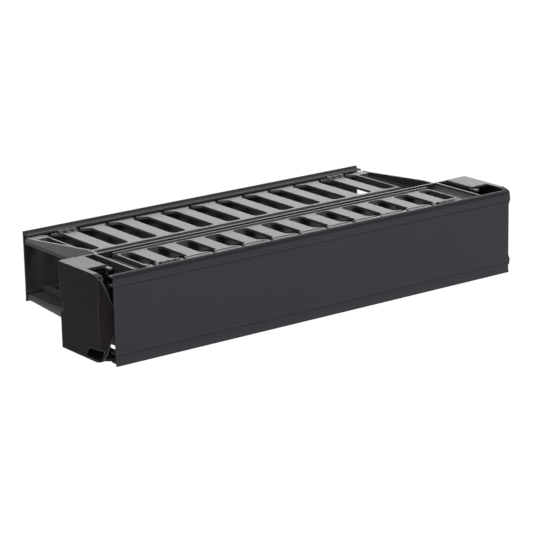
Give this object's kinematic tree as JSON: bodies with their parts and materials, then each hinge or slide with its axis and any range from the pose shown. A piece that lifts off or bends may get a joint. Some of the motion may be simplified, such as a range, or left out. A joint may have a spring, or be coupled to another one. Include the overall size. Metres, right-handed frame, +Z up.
{
  "type": "horizontal cable manager",
  "caption": "Black rack cable manager with finger ducts in front of and behind the rails, drop-down covers on both sides and side brackets that bolt to the rack.",
  "frame": {"origin": "centre of the bounding box in plan, at its bottom", "axes": "+X to the right seen from the front, +Y to the rear, +Z up; the front cover faces -Y"},
  "size_m": [0.4826, 0.2068, 0.0847],
  "materials": {
    "moulded_plastic": "fine matte black moulding",
    "clip_plastic": "matte black moulding",
    "cover_plastic": "satin black extrusion",
    "painted_steel": "fine textured black powder coat",
    "pin_steel": "plain steel pin",
    "black_screws": "black plated",
    "rivet_plastic": "matte black"
  },
  "bodies": {
    "frame": {"front_duct_back": "moulded_plastic", "rear_duct_back": "moulded_plastic", "front_comb_upper": "moulded_plastic", "front_comb_lower": "moulded_plastic", "rear_comb_upper": "moulded_plastic", "rear_comb_lower": "moulded_plastic", "end_guide_upper_left": "moulded_plastic", "end_guide_upper_right": "moulded_plastic", "end_guide_lower_left": "moulded_plastic", "end_guide_lower_right": "moulded_plastic", "rear_arm_upper_left": "moulded_plastic", "rear_arm_upper_right": "moulded_plastic", "rear_arm_lower_left": "moulded_plastic", "rear_arm_lower_right": "moulded_plastic", "end_bracket_left": "painted_steel", "end_bracket_right": "painted_steel", "centre_plate": "painted_steel", "front_hinge_pins": "pin_steel", "rear_hinge_pins": "pin_steel", "duct_screws": "black_screws", "bracket_screws": "black_screws", "guide_screws": "black_screws", "front_comb_rivets": "rivet_plastic", "rear_comb_rivets": "rivet_plastic", "end_guide_rivets": "rivet_plastic", "rear_arm_rivets": "rivet_plastic"},
    "front_cover_body": {"front_cover": "cover_plastic", "front_cover_clips_upper": "clip_plastic", "front_cover_clips_lower": "clip_plastic"},
    "rear_cover_body": {"rear_cover": "cover_plastic", "rear_cover_clips_upper": "clip_plastic", "rear_cover_clips_lower": "clip_plastic"}
  },
  "joints": [
    {"name": "front_cover_hinge", "type": "hinge", "parent": "frame", "child": "front_cover_body", "pos_m": [0, -0.0879, 0.00535], "axis": [1, 0, 0], "range_deg": [0, 100]},
    {"name": "rear_cover_hinge", "type": "hinge", "parent": "frame", "child": "rear_cover_body", "pos_m": [0, 0.0879, 0.01265], "axis": [-1, 0, 0], "range_deg": [0, 100]}
  ]
}
